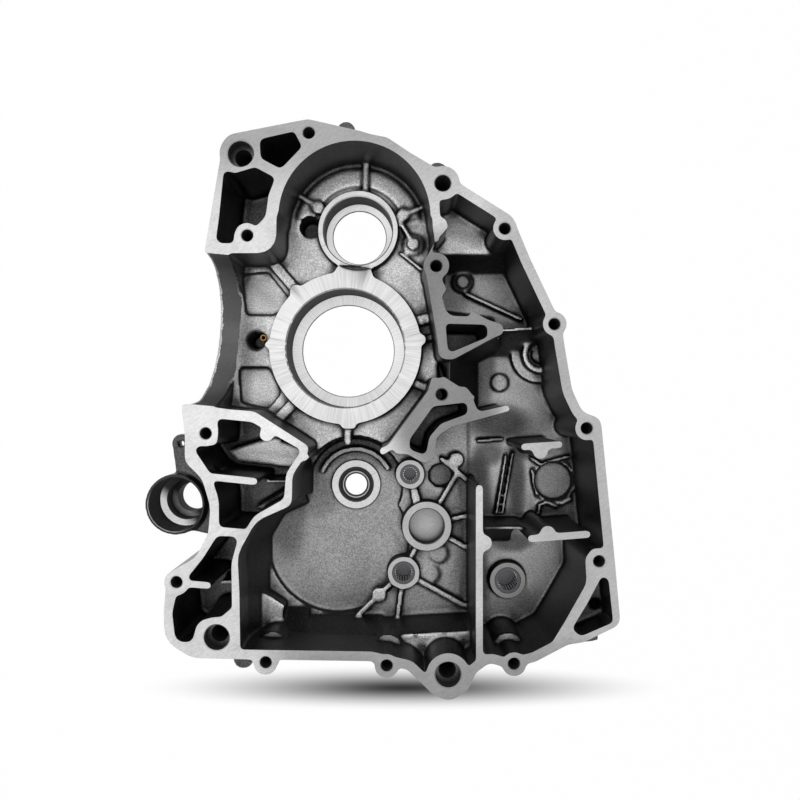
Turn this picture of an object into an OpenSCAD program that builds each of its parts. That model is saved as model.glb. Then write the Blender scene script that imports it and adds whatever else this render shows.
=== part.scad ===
// Crankcase half of a single-cylinder motorcycle engine, lying on its outer side.
// The crank axis is the Z axis, z = 0 is the face of the crank bearing boss, and +Z points out of the
// joint face towards the other half. +Y runs up to the balancer shaft, and the cylinder sits at -X.

/* [Case] */
// Size of the case across, from the rear eye to the right wall
case_width = 273; // [268:1:290]
// Size of the case from the top rim to the foot
case_height = 333; // [328:1:350]
// Depth from the joint face to the outer cover face that the half lies on
case_depth = 62; // [58:0.5:72]
// Width of the rim's joint face
rim_w = 5.5; // [4.5:0.25:7]
// Thickness of the chamber floors
floor_t = 5; // [4:0.25:6.5]
// Width of the outer cover face on the underside
cover_rim_w = 6.5; // [5.5:0.25:8]
// Radius of the joint bolt bosses
boss_r = 6.8; // [6:0.1:8]
// Radius of the joint bolt holes
bolt_hole_r = 3.3; // [2.5:0.1:4]
// Depth of the joint bolt holes
bolt_hole_depth = 46; // [20:1:48]
// Radius of the fillets where cast walls meet in plan
cast_fillet = 2; // [0.5:0.25:3]

/* [Depths below the joint face] */
// Crank bearing boss face
crank_face_depth = 27; // [24:0.5:30]
// Balancer bearing boss face
balancer_face_depth = 29; // [28:0.5:32]
// Crank chamber floor
crank_floor_depth = 35; // [33:0.5:38]
// Hollows in the crank chamber floor beside the cylinder
hollow_depth = 38.5; // [36:0.5:41]
// Gearbox floor
gearbox_floor_depth = 46; // [43:0.5:48]
// Round pool in the gearbox floor
pool_depth = 49; // [47:0.5:51]
// Right chamber floor
right_floor_depth = 47; // [44:0.5:49]
// Shelf in the upper right corner
shelf_depth = 31; // [28:0.5:36]
// Blind pockets in the corner blocks
pocket_depth = 46; // [34:0.5:48]
// Pocket in the lower right corner block
corner_pocket_depth = 17; // [12:0.5:30]

/* [Bearing seats] */
// Radius of the crank bearing seat
crank_seat_r = 36; // [31:0.5:37]
// Depth of the crank bearing seat below its boss face
crank_seat_depth = 23; // [17:0.5:24]
// Radius of the crank shaft opening
crank_opening_r = 29.4; // [22:0.1:30]
// Width of the crank boss ring
crank_ring_w = 10.4; // [8:0.2:12]
// Radius of the balancer bearing seat
balancer_seat_r = 21; // [17.5:0.5:22]
// Depth of the balancer bearing seat below its boss face
balancer_seat_depth = 16; // [12:0.5:17]
// Radius of the balancer shaft opening
balancer_opening_r = 16.8; // [12:0.1:17]
// Width of the balancer boss ring
balancer_ring_w = 3.4; // [3:0.1:5]
// Radius of the shift drum bearing seat
drum_seat_r = 11; // [8:0.5:12.5]
// Radius of the kick shaft seat in the right chamber
kick_seat_r = 12.5; // [9:0.5:13]
// Thickness of the lips behind the bearing seats
lip_t = 3; // [2:0.25:4]

/* [Cylinder spigot] */
// Radius of the half bore that takes the cylinder liner
spigot_r = 43; // [39:0.5:43.5]
// Length of the half bore along the cylinder axis
spigot_len = 14; // [11:0.5:17]

/* [Needle bearings] */
// Shaft diameter of the upper needle bearing
upper_shaft_d = 8; // [6:1:10]
// Shaft diameter of the lower needle bearing
lower_shaft_d = 10; // [8:1:12]
// Shaft diameter of the right needle bearing
right_shaft_d = 12; // [10:1:14]
// Radial section of a needle bearing, from shaft to seat
needle_section = 2; // [1.9:0.1:2.6]
// Wall of the drawn cups
cup_wall = 0.7; // [0.6:0.05:0.8]
// Length of the drawn cups
cup_len = 12; // [10:0.5:13]
// Running clearance of rollers and cage in the cup
needle_gap = 0.05; // [0.02:0.01:0.08]

/* [Shift shaft seal] */
// Diameter of the shift shaft
seal_shaft_d = 14; // [11:1:15]
// Outer diameter of the seal
seal_od = 22; // [21:1:25]
// Width of the seal
seal_w = 5; // [4:0.5:6]

/* [Oil jet] */
// Radius of the oil jet's body
jet_r = 2.4; // [1.8:0.1:2.8]
// Length of the oil jet
jet_len = 9; // [6:0.5:11]
// Radius of the jet's orifice
jet_orifice_r = 0.7; // [0.4:0.1:1]

/* [Rear mounting eye] */
// Outer radius of the eye
eye_r = 17.8; // [17:0.1:20]
// Radius of the bush seat in the eye
eye_seat_r = 15.8; // [12:0.1:16.2]
// Radius of the bolt passage at the eye's foot
eye_passage_r = 9; // [6:0.5:11]
// Length of the eye
eye_len = 40; // [34:0.5:42]

/* [Hidden] */
$fn = 64;

// The places below are those of a case of this size, and placed() stretches them with the case
drawn_size = [273, 333];
stretch = [case_width / drawn_size.x, case_height / drawn_size.y];

// Levels, as heights above the crank boss face
joint_z = crank_face_depth;
bottom_z = joint_z - case_depth;
balancer_face_z = joint_z - balancer_face_depth;
crank_floor_z = joint_z - crank_floor_depth;
hollow_z = joint_z - hollow_depth;
gearbox_floor_z = joint_z - gearbox_floor_depth;
pool_z = joint_z - pool_depth;
right_floor_z = joint_z - right_floor_depth;
shelf_z = joint_z - shelf_depth;
pocket_z = joint_z - pocket_depth;
corner_pocket_z = joint_z - corner_pocket_depth;
chamber_rib_z = crank_floor_z + 4;
gearbox_boss_z = gearbox_floor_z + 5;
drum_face_z = gearbox_boss_z + 1.5;
cover_boss_z = joint_z - 12;
kick_face_z = right_floor_z + 3;
seal_face_z = pool_z + 1;
eye_top_z = joint_z - 10;
lug_z = joint_z - 14;
jet_seat_z = crank_floor_z - 1 - jet_len;

// Cut past a face so that no skin is left
over = 1;
// Neighbouring zones reach into each other by this much
meet = 0.05;
// Angle of one straight step along a rounded outline
arc_step = 22.5;

// Shaft centres
balancer_at = [7.6, 72];
drum_at = [50.2, -111];
seal_at = [5.2, -85.8];
upper_needle_at = [39.7, -78.5];
lower_needle_at = [35.6, -140.7];
right_needle_at = [101.4, -145.5];
kick_at = [131.4, -83.3];
jet_hole_at = [-56.2, 5.4];
jet_at = jet_hole_at + [4.4, 1.8];
drain_at = [-22.4, 75.8];
eye_at = [-97.5, -92.5];
lug_at = [-95.5, -57.2];
corner_hole_at = [148.9, -152.5];

// Joint bolt centres, clockwise from the top, and the two on the inner webs
rim_bolts = [
    [-18.3, 119.7], [92.7, 65.5], [120.8, 11.4], [139.1, -47.6], [146.1, -122.9], [97.9, -180.9],
    [25.8, -181.9], [-42.7, -180.1], [-93.2, -134.7], [-76.7, -50.5], [-53.2, 61.6]
];
web_bolts = [[53.9, 44.4], [57, -28.4]];
dowels = [[-56.9, 107.8], [-70.5, -166], [60.6, -187.1]];
hanger_at = [57.6, 91.2];
// Bosses for the outer cover's bolts, which stand out past the rim: centre and radius
cover_bosses = [[1.8, 126.1, 5.5], [55.3, 101, 6.7], [-58.4, -183, 6], [150.5, -118, 7.2]];

// Cylinder deck: its top and bottom corners, and the half bore's centre on it
deck_top = [-77.3, 51.8];
deck_foot = [-85.5, -34];
deck_run = placed(deck_top - deck_foot);
deck_tilt = atan2(deck_run.x, deck_run.y);
spigot_at = (deck_top + deck_foot) / 2;

// Balancer chamber, crank chamber, and the step round the shift shaft seal
chamber_r = 43;
crank_sweep_r = 63;
seal_step_r = 32;
// Round pool in the gearbox floor
gear_pool_at = [-6, -122.5];
gear_pool_r = 45;
// Drum and kick shaft seats
drum_depth = 9;
kick_depth = 6;
// Dowel holes, with their counterbores
dowel_r = 7.2;
dowel_depth = 7.5;
dowel_hole_r = 5;
dowel_hole_depth = 34;
// Hole for the hanger bolt
hanger_r = 4.6;
hanger_depth = 26;
// Oil passage at the jet, with its recess, and the balancer oil drain
passage_r = 4.8;
passage_depth = 16;
passage_recess_r = 6.6;
drain_r = 6.4;
drain_depth = 14;
// Eye: depths of the bush seat and of the step below it, and the step's radius
eye_seat_depth = 19;
eye_step_depth = 30;
eye_step_r = 12.4;
// Small lug above the eye
lug_r = 5.6;
lug_t = 8;
lug_hole_r = 1.9;
// Boss with a cast recess at the right wall
wall_boss_at = [122, -2.8];
wall_boss_r = 12;
wall_recess_r = 8.6;
// Cast recess in the gearbox floor
floor_recess_at = [59.2, -79.7];
floor_recess_r = 7.6;
corner_hole_depth = 14;
// Bolt holes for the outer cover
cover_hole_r = 2.5;
cover_hole_depth = 12;
outer_bolts = [[-62, 100], [93, 66], [120, 12], [139, -48], [98, -179], [26, -180], [-92, -134], [-77, -51]];
// End rings of the needle cages
cage_end = 0.8;
// The seal's outer shell, the gap behind its lip, and its garter spring's wire
seal_shell = 1.1;
seal_gap = 0.4;
spring_r = 0.5;
seal_lip = (seal_od - seal_shaft_d) / 2 - seal_shell - seal_gap;
spring_ring_r = seal_shaft_d / 2 + seal_lip / 2;

// Corners of outlines are [x, y, radius]
case_corners = [
    [deck_top.x, deck_top.y, 0], [-66, 118, 8], [-18.7, 127.2, 6], [15, 119.5, 30], [36, 110, 30],
    [53, 100, 3],
    [68.5, 90, 3], [97, 72, 7], [107, 48, 0], [121, 18.5, 2], [125.5, 5, 3], [126.5, -2, 0],
    [130.6, -26, 12], [136.5, -38.5, 8], [146.8, -42, 6], [148.6, -60, 0], [155, -125, 0],
    [158, -158.5, 6], [137, -168.6, 5], [128.5, -169.8, 5], [110, -179.5, 4], [104, -181, 2],
    [92, -182.5, 2], [84, -180.2, 4], [76.5, -185.5, 4], [71.5, -196, 5], [61, -202.5, 9],
    [51.5, -197.5, 5], [37.5, -184, 4], [16.5, -179.2, 2], [-52, -178.2, 2], [-84, -177.5, 14],
    [-99.8, -168, 14], [-100.2, -152, 6], [-98.4, -130, 5], [-82, -120.5, 10], [-75, -107, 12],
    [-73.8, -92, 12], [-78.5, -76, 12], [-88.3, -66.5, 7], [-88.2, -52, 4], [-90.3, -34.2, 0.5],
    [deck_foot.x, deck_foot.y, 0]
];

// Edge of the lower left block against the chambers, from the deck to the bottom rim
block_edge = [
    [-85, -34, 1], [-62, -37, 10], [-49, -38, 8], [-17, -58.5, 3.5], [-27.5, -74, 10], [-27.8, -91, 5],
    [-48, -100, 14], [-58.5, -119, 16], [-57.4, -140, 6], [-56.9, -173, 6]
];

// Sloped feet of the cast walls: start, end, run, top and foot. The slope falls to the left of start to end.
wall_slopes = [
    // Gearbox: along the lower left block, the bottom rim and the partition's foot
    [[-27.5, -70], [-27.8, -91], 5, 0, pool_z],
    [[-27.8, -91], [-48, -100], 7, 2, pool_z],
    [[-46, -98], [-58.5, -119], 8, 6, pool_z],
    [[-57.5, -115], [-57, -173], 8.5, 8, pool_z],
    [[-42, -173.2], [-24, -173.2], 10.5, 0, gearbox_floor_z],
    [[-25, -173.2], [22, -173.2], 5.5, 2, pool_z],
    [[21, -174], [77, -171], 4, 4, gearbox_floor_z],
    // Right chamber: under the shelf, beside both webs and below the kick shaft seat
    [[106, 58.6], [54, 58.6], 9.8, shelf_z, right_floor_z],
    [[92, 12], [57, 17], -9, -2, right_floor_z],
    [[60, -10], [94, 7], -8, 2, right_floor_z],
    [[62, -8], [62, -36], 21, 12, right_floor_z],
    [[80, -108.4], [103, -108.4], -13, 4, right_floor_z],
    [[118, 12], [92, 12], 16, 0, right_floor_z]
];
// Pads and ledges on the floors: top height and outline
floor_pads = [
    [crank_floor_z, [[-58, -148], [-47.3, -153.6], [-38.5, -159.4], [-41, -174], [-58, -174]]],
    [crank_floor_z + 2, [[-74, -63], [-67.4, -69.9], [-34, -73.4], [-28, -70], [-25, -62], [-45, -55],
        [-56, -57]]],
    [crank_floor_z + 2, [[-57, -98.4], [-50, -101], [-32, -91.5], [-32, -86], [-39.3, -87.6]]]
];
// Ribs that stand on the chamber floors: top height, width, start and end
low_ribs = [
    [crank_floor_z + 8, 2.6, [-47, -81.3], [-32, -81.3]],
    [crank_floor_z + 8, 2.6, [-75, -142.8], [-61, -142.8]],
    [crank_floor_z + 8, 2, [90, 10.6], [118, 12.2]],
    [crank_floor_z + 17, 2, [79, -107.5], [107, -107.5]]
];
// Round humps: centre, radius and top height
humps = [
    [[73.3, 43.6], 6.6, right_floor_z + 2], [[73.3, 43.6], 4.2, right_floor_z + 4],
    [[97, -20.5], 5.5, right_floor_z + 2],
    [wall_boss_at, wall_boss_r + 6, right_floor_z + 4], [wall_boss_at, wall_recess_r - 3, right_floor_z + 7],
    [rim_bolts[5], boss_r + 3.6, joint_z - 19], [rim_bolts[6], boss_r + 3.6, joint_z - 19],
    [rim_bolts[7], boss_r + 3.6, joint_z - 19], [dowels[2], 15.5, joint_z - 31]
];
// The raised edge round the kick shaft seat, in strokes
kick_edge = [
    [[116.8, -68.5], [123.2, -73]], [[123.2, -73], [132.6, -69.6]], [[132.6, -69.6], [141, -67.6]],
    [[117.6, -76.5], [118.6, -84]], [[118.6, -84], [120.8, -92]],
    [[121.6, -104], [122.1, -98.6]], [[122.1, -98.6], [126.6, -96.8]], [[126.6, -96.8], [133, -99.4]],
    [[136, -98], [142, -94.6]]
];

function unit(v) = v / norm(v);

// A place, or an outline's corners, stretched with the case
function placed(p) = [p.x * stretch.x, p.y * stretch.y];
function outline(c) = [for (p = c) placed(p)];

// Arc in place of corner b between its neighbours a and c, no longer than the edges allow
function corner(a, b, c) =
    let (
        p = [b.x, b.y],
        to_a = [a.x, a.y] - p,
        to_c = [c.x, c.y] - p,
        u = unit(to_a),
        w = unit(to_c),
        half = acos(max(-1, min(1, u * w))) / 2
    )
    b.z == 0 || half > 89 ? [p] :
    let (
        setback = min(b.z / tan(half), 0.49 * min(norm(to_a), norm(to_c))),
        r = setback * tan(half),
        centre = p + unit(u + w) * r / sin(half),
        from = p + u * setback - centre,
        to = p + w * setback - centre,
        start = atan2(from.y, from.x),
        turn = (atan2(to.y, to.x) - start + 540) % 360 - 180,
        steps = max(1, ceil(abs(turn) / arc_step))
    )
    [for (k = [0:steps]) centre + r * [cos(start + turn * k / steps), sin(start + turn * k / steps)]];

// Outline with the corners that c gives as [x, y, radius]
function rounded(c) =
    let (
        n = len(c),
        q = [for (p = c) [p.x * stretch.x, p.y * stretch.y, p[2] == undef ? 0 : p[2]]]
    )
    [for (i = [0:n - 1]) each corner(q[(i + n - 1) % n], q[i], q[(i + 1) % n])];

// Moves what follows to a place at height z
module put(p, z = 0) {
    translate([placed(p).x, placed(p).y, z]) children();
}

// Strip of width w between two points
module strip(a, b, w) {
    run = placed(b) - placed(a);
    put(a) rotate(atan2(run.y, run.x)) translate([0, -w / 2]) square([norm(run), w]);
}

// The same with round ends
module bar(a, b, w) {
    discs([a, b], w / 2);
    strip(a, b, w);
}

module discs(places, r) {
    for (p = places)
        put(p) circle(r, $fn = 24);
}

// Fills the sharp inner corners of a plan with fillets and breaks its outer ones
module cast_plan(fill = cast_fillet, round = 0.6) {
    offset(r = round, $fn = 12) offset(r = -fill - round, $fn = 16) offset(delta = fill) children();
}

// Slope from a line down to a floor. It falls to the left of a to b, or to the right with a run below 0
module slope(a, b, run, top, foot) {
    way = run < 0 ? placed(a) - placed(b) : placed(b) - placed(a);
    put(run < 0 ? b : a) rotate(atan2(way.y, way.x)) rotate([90, 0, 90])
        linear_extrude(norm(way)) polygon([[0, foot - 1], [0, top],
            [abs(run) * (1 + 1 / (top - foot)), foot - 1]]);
}

// Solid of a plan between two heights
module level(from, to) {
    translate([0, 0, from]) linear_extrude(to - from) children();
}

// The same with small fillets in its inner corners
module cast_level(from, to) {
    level(from, to) offset(delta = -0.8) offset(delta = 0.8) children();
}

module case_outline() {
    polygon(rounded(case_corners));
    put(balancer_at) circle(chamber_r + rim_w);
}

module rim_bosses() {
    discs(rim_bolts, boss_r);
    discs([dowels[0]], dowel_r + 4.6);
    discs([dowels[1]], dowel_r + 4.6);
    discs([dowels[2]], dowel_r + 5.3);
    put(hanger_at) circle(hanger_r + 5);
}

module case_plan() {
    case_outline();
    rim_bosses();
}

// Region of the lower left block, closed well outside the case
module lower_block_region() {
    polygon(rounded(concat([[-130, -34, 0]], block_edge, [[-56.9, -220, 0], [-130, -220, 0]])));
}

module upper_block_region() {
    polygon(rounded([[-130, 51.4, 0], [-36.8, 51.4, 15], [-36.4, 72, 0], [-22, 110, 0], [-5, 140, 0],
        [-130, 140, 0]]));
}

// Corner block between the right chamber and the rim
module corner_block_region() {
    polygon(rounded([[170, -115, 0], [142, -115.5, 4], [138, -121, 5], [138.8, -135, 8], [127, -156, 12],
        [118.5, -170, 8], [108, -175.5, 4], [108, -195, 0], [170, -195, 0]]));
}

// Thick wall under the cylinder deck
module spigot_wall_region() {
    put(spigot_at) rotate(-deck_tilt) translate([-20, -60]) square([20 + spigot_len, 120]);
}

// Everything inside the rim: the crank, balancer, gearbox and right chambers in one
module cavity_plan() {
    difference() {
        offset(delta = -rim_w) case_outline();
        difference() {
            union() {
                upper_block_region();
                lower_block_region();
            }
            put(balancer_at) circle(chamber_r);
        }
        spigot_wall_region();
        corner_block_region();
        rim_bosses();
    }
}

// Crank and balancer chamber floor
module crank_zone() {
    difference() {
        intersection() {
            cavity_plan();
            union() {
                circle(crank_sweep_r);
                put(balancer_at) circle(chamber_r);
                polygon(outline([[-90, 60], [-20, 100], [51.5, 72], [53, 58], [48, 48], [55, 2],
                    [57, -16], [50, -22],
                    [-10, -66], [-90, -40]]));
            }
            polygon(outline([[-90, 130], [52, 130], [53.5, 58], [49, 47], [56, 0], [57.5, -18], [49.5, -26],
                [20, -66], [-90, -66]]));
        }
        put(seal_at) circle(seal_step_r);
    }
}

module gearbox_zone() {
    intersection() {
        cavity_plan();
        difference() {
            polygon(outline([[-90, -40], [76.3, -30], [76.3, -220], [-90, -220]]));
            crank_zone_reach();
        }
    }
}

// What the crank chamber floor covers, grown to meet the web beside it
module crank_zone_reach() {
    difference() {
        polygon(outline([[-90, -20], [57.5, -18], [49.5, -26], [42, -44.4], [20, -66], [-90, -66]]));
        put(seal_at) circle(seal_step_r);
    }
}

module right_zone() {
    intersection() {
        cavity_plan();
        polygon(outline([[53.5, 58], [72, 60], [140, 60], [180, -220], [80.2, -220], [80.2, -81.5],
            [76.3, -81.5],
            [76.3, -30], [57.5, -18], [56, 0], [49, 47]]));
    }
}

module shelf_zone() {
    intersection() {
        cavity_plan();
        polygon(outline([[55.3, 130], [55.3, 58], [140, 56], [140, 130]]));
    }
}

// Walls and webs that stand in the cavity up to the joint face
module crank_web() {
    discs([web_bolts[0]], boss_r + 0.5);
    polygon(rounded([[47, 46, 3], [54.5, 3, 4], [55.5, -8.5, 6], [63.5, -8.6, 3], [86, 3.5, 2], [92, 6, 3],
        [91.5, 11, 3], [83.5, 13.5, 2], [73.2, 19, 0.5], [73.6, 15.5, 1], [60, 16, 6], [56.8, 27, 1.5],
        [59.8, 31, 2], [56, 38, 2]]));
}

module lower_web() {
    discs([web_bolts[1]], boss_r + 0.4);
    polygon(rounded([[51.5, -18.5, 1], [61, -20.5, 3], [65, -26.4, 1.5], [69.5, -23, 3], [73, -27, 2],
        [77.5, -38.5, 3], [94.5, -34.5, 0.5], [95.5, -37.6, 0.5], [62, -46.8, 6], [53.6, -52.5, 6],
        [53.2, -63.5, 4], [47, -67.5, 4], [37.5, -62, 3], [31.5, -62, 2], [29.4, -59, 0.5],
        [23, -63, 0.5], [21.5, -60, 0.5], [34, -52.8, 12], [46, -39.5, 12], [50, -24, 8]]));
}

module partition_walls() {
    bar([78.2, -81.5], [78.2, -162], 3.9);
    discs([[80.9, -112.4]], 4.4);
    bar([103.5, -58.1], [123.5, -56.8], 3.7);
    discs([[112.7, -60.8]], 4.1);
    bar([107.5, -110], [139, -107.5], 4);
    discs([[116.9, -106.9]], 4.2);
    polygon(outline([[51.4, 80], [51.9, 66], [53, 59.4], [57, 62], [60.6, 66.4], [59, 70.5], [56, 71.8],
        [55.3, 84]]));
}

// Blind pockets in the two corner blocks: their outlines, and the dividers that stand in them
module block_pockets() {
    polygon(rounded([[-46, 115.8, 3], [-26.5, 120.2, 1.5], [-22, 111.5, 2], [-34, 99, 3], [-45.4, 105, 3]]));
    difference() {
        polygon(rounded([[-66.2, 98.5, 4], [-60, 96.6, 3], [-48.5, 100, 3], [-37.2, 94, 2.5], [-41, 84, 3],
            [-42.6, 72, 6], [-48, 66.5, 1], [-60.5, 62, 0], [-60.4, 57, 2.5], [-71, 57, 3.5],
                [-69, 71, 0]]));
        discs([rim_bolts[10]], boss_r + 0.1);
    }
    difference() {
        polygon(rounded([[-70.4, -42, 3], [-50.5, -44, 6], [-22.2, -60, 2.5], [-31, -73, 8],
            [-32.2, -87.5, 4],
            [-49, -97, 10], [-53.8, -104.6, 0.5], [-69, -103.3, 2.5], [-69, -88, 12], [-74, -73, 6],
            [-84, -58, 2.5], [-70, -57, 3], [-69.4, -48, 3]]));
        discs([rim_bolts[9]], boss_r + 0.5);
        discs([[-42, -51]], 4);
        strip([-78, -74.6], [-49.2, -77.6], 4);
        discs([[-49.2, -77.6]], 2);
    }
    difference() {
        polygon(rounded([[-70, -108.4, 3], [-57.9, -108.8, 3], [-62, -124, 12], [-61.6, -149, 1],
            [-67.5, -154, 1],
            [-81, -156, 8], [-84, -168.4, 4], [-93.5, -168.4, 6], [-95.4, -152, 6], [-93.2, -142, 1],
            [-86, -138, 1], [-86, -131, 1], [-78, -121, 8]]));
        discs([dowels[1]], dowel_r + 4.6);
        discs([rim_bolts[8]], boss_r + 0.6);
        strip([-90, -135.2], [-75.3, -136.4], 3.8);
        discs([[-75.3, -136.4]], 1.9);
    }
}

module corner_pocket() {
    polygon(rounded([[147.5, -131, 3], [151.2, -133, 2.5], [153.8, -157.3, 2], [135.5, -165.2, 3],
        [130.5, -161, 2.5],
        [139, -147, 0]]));
}

module ring_sector(r_in, r_out, from, to) {
    difference() {
        circle(r_out);
        circle(r_in);
        far = 3 * r_out;
        polygon(concat([[0, 0]], [for (a = [to:15:from + 360]) far * [cos(a), sin(a)]],
            [far * [cos(from), sin(from)]]));
    }
}

// Low ribs and pads on the crank chamber floor
module chamber_ribs() {
    bar([-28, 33], [-46, 54], 6.3);
    bar([-31, -32], [-42.5, -44], 6.4);
    bar([1, -44], [1, -57], 5);
    bar([42, 16.5], [56, 20.3], 6.3);
    bar([42, -21], [51, -24.8], 4.9);
    bar([43, 5], [56, 7.5], 4);
    bar([12, 96], [12.5, 118], 4);
    bar([-17.3, 87.3], [-33, 97], 3);
    bar([35.3, 82.7], [52, 89], 3);
    bar([33, 79], [41, 66], 2.6);
    discs([[-17.3, 87.3], [35.3, 82.7]], 4.1);
}

module crank_ring_plan() {
    circle(crank_seat_r + crank_ring_w);
    polygon([[-8, 44], [-4.7, 49.5], [15, 49.5], [17.5, 42]]);
    discs([[-29.8, 34.7]], 3.9);
    discs([[45.9, 5.2]], 3.2);
    polygon([[-46, 5.5], [-49.4, 2], [-46, -1]]);
    polygon([[-3.4, -45], [-1.5, -49], [5.5, -49], [7.4, -45]]);
}

module floor_bosses() {
    // Crank bearing boss, through the floor to its lip
    cast_level(-crank_seat_depth - lip_t, 0) crank_ring_plan();
    // Balancer bearing boss
    put(balancer_at, balancer_face_z - balancer_seat_depth - lip_t)
        cylinder(r = balancer_seat_r + balancer_ring_w, h = balancer_seat_depth + lip_t);
    cast_level(crank_floor_z - 1, crank_floor_z + 1.6) put(balancer_at) ring_sector(29, 39, 14, 166);
    cast_level(crank_floor_z - 1, chamber_rib_z) intersection() {
        chamber_ribs();
        offset(delta = 1) cavity_plan();
    }
    // Dome and thin ridge beside the balancer seat
    for (tier = [[6.4, 2.2], [3.8, 4.2]])
        put([41.5, 64.5], crank_floor_z - 1) cylinder(r = tier[0], h = tier[1] + 1);
    cast_level(crank_floor_z - 1, crank_floor_z + 3) bar([34, 59], [47.5, 48.2], 1.8);
}

// Boss for a needle bearing, down to the bottom of its cup
module needle_boss(at, r, face_z) {
    put(at, face_z - cup_len - lip_t) cylinder(r = r, h = cup_len + lip_t);
}

module gearbox_bosses() {
    needle_boss(upper_needle_at, needle_seat_r(upper_shaft_d) + 3, gearbox_boss_z);
    needle_boss(lower_needle_at, needle_seat_r(lower_shaft_d) + 3, gearbox_boss_z);
    needle_boss(right_needle_at, needle_seat_r(right_shaft_d) + 3.4, gearbox_boss_z);
    put(drum_at, drum_face_z - drum_depth - floor_t)
        cylinder(r = drum_seat_r + 4.5, h = drum_depth + floor_t);
    put(kick_at, kick_face_z - kick_depth - floor_t)
        cylinder(r = kick_seat_r + 1.2, h = kick_depth + floor_t - 1.5);
    put(seal_at, seal_face_z - seal_w - lip_t) cylinder(d = seal_od + 8.4, h = seal_w + lip_t);
    // Arched lip over the seal
    cast_level(pool_z - 1, gearbox_floor_z + 3) put(seal_at) ring_sector(21.5, 24.5, 25, 160);
    // Ribs that tie the bosses to the walls
    cast_level(gearbox_floor_z - 1, gearbox_boss_z - 1) {
        bar(drum_at, [69, -79], 3);
        bar([60, -69], [78, -84], 3);
        bar(drum_at, [77, -104.5], 3);
        bar(drum_at, [77, -126], 3);
        bar(lower_needle_at, [78, -164], 3.4);
        bar(lower_needle_at, [31, -175], 3);
        bar(lower_needle_at, [20, -155], 3);
        bar([20, -155], [2, -173], 3);
        bar(upper_needle_at, drum_at, 3);
        bar(upper_needle_at, drum_at - [5, 1], 3);
        bar(lower_needle_at, drum_at, 3);
        discs([[69, -69.5], [20, -155]], 4.7);
    }
    cast_level(gearbox_floor_z - 1, gearbox_floor_z + 1.5) discs([[58, -129.5], [52.5, -142.5]], 6);
}

function needle_seat_r(shaft_d) = shaft_d / 2 + needle_section;

module right_chamber_ribs() {
    cast_level(right_floor_z - 1, right_floor_z + 4) {
        bar([83, -57.5], [98, -56.5], 2);
        bar([75.4, 35.8], [110.2, 19.8], 2.2);
    }
    level(right_floor_z - 1, right_floor_z + 4) {
        strip([100.8, -65.8], [94.5, -104.2], 1.6);
        strip([105, -64.7], [98.2, -104.2], 1.6);
    }
    cast_level(right_floor_z - 1, kick_face_z)
        for (stroke = kick_edge)
            bar(stroke[0], stroke[1], 2);
}

// Sloped wall feet, pads, low ribs and humps that the floors carry
module floor_forms() {
    for (w = wall_slopes)
        slope(w[0], w[1], w[2], w[3], w[4]);
    for (p = floor_pads)
        level(pocket_z - 1, p[0]) polygon(outline(p[1]));
    for (r = low_ribs)
        cast_level(pocket_z - 1, r[0]) bar(r[2], r[3], r[1]);
    for (h = humps)
        put(h[0], pool_z - 1) cylinder(r = h[1], h = h[2] - pool_z + 1);
    // Ring round the dome at the right wall
    put(wall_boss_at, right_floor_z + 1)
        difference() {
            cylinder(r = wall_boss_r, h = 9);
            cylinder(r = wall_recess_r, h = 9 + over);
        }
}

// Floors of the chambers with their webs, cut from one prism
module case_shell() {
    difference() {
        union() {
            level(bottom_z, joint_z) cast_plan() case_plan();
            for (b = cover_bosses)
                put(b, bottom_z) cylinder(r = b.z, h = cover_boss_z - bottom_z);
            level(bottom_z, cover_boss_z)
                polygon(outline([[127.4, -160], [127.4, -175.5], [149.5, -172.5], [149.5, -160]]));
        }
        chamber_cut(crank_floor_z) crank_zone();
        chamber_cut(gearbox_floor_z) gearbox_zone();
        level(pool_z, gearbox_floor_z + over) intersection() {
            offset(delta = -2) gearbox_zone();
            union() {
                put(gear_pool_at) circle(gear_pool_r);
                put(seal_at) circle(seal_step_r - 2);
            }
        }
        chamber_cut(right_floor_z) right_zone();
        chamber_cut(shelf_z) shelf_zone();
        chamber_cut(pocket_z) block_pockets();
        chamber_cut(corner_pocket_z) corner_pocket();
        chamber_hollows();
    }
}

// Opens a zone down to its floor, and hollows the outer side up to the floor's thickness
module chamber_cut(floor_z) {
    level(floor_z, joint_z + over) offset(delta = meet) children();
}

module chamber_hollows() {
    level(hollow_z, crank_floor_z + over) offset(r = 3) {
        polygon(outline([[-62, 44], [-50, 45], [-38, 30], [-46, 24], [-60, 24]]));
        polygon(outline([[-64, -14], [-50, -14], [-44, -27], [-50, -34], [-63, -31]]));
    }
}

// Hollows in the outer side, a floor's thickness below each chamber floor
module outer_hollows() {
    outer_cut(hollow_z) crank_zone();
    outer_cut(pool_z) gearbox_zone();
    outer_cut(right_floor_z) right_zone();
    outer_cut(shelf_z) shelf_zone();
    outer_cut(pocket_z) block_pockets();
    // The cover's own chamber joins them all
    level(bottom_z - over, pool_z - floor_t)
        offset(r = 3, $fn = 16) offset(delta = -cover_rim_w - 3) difference() {
            case_plan();
            spigot_wall_region();
        }
}

// Set in from the chamber's edge, so that the step down to a deeper neighbour keeps its wall
module outer_cut(floor_z) {
    level(bottom_z - over, floor_z - floor_t) offset(delta = -floor_t + 0.5) children();
}

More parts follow.
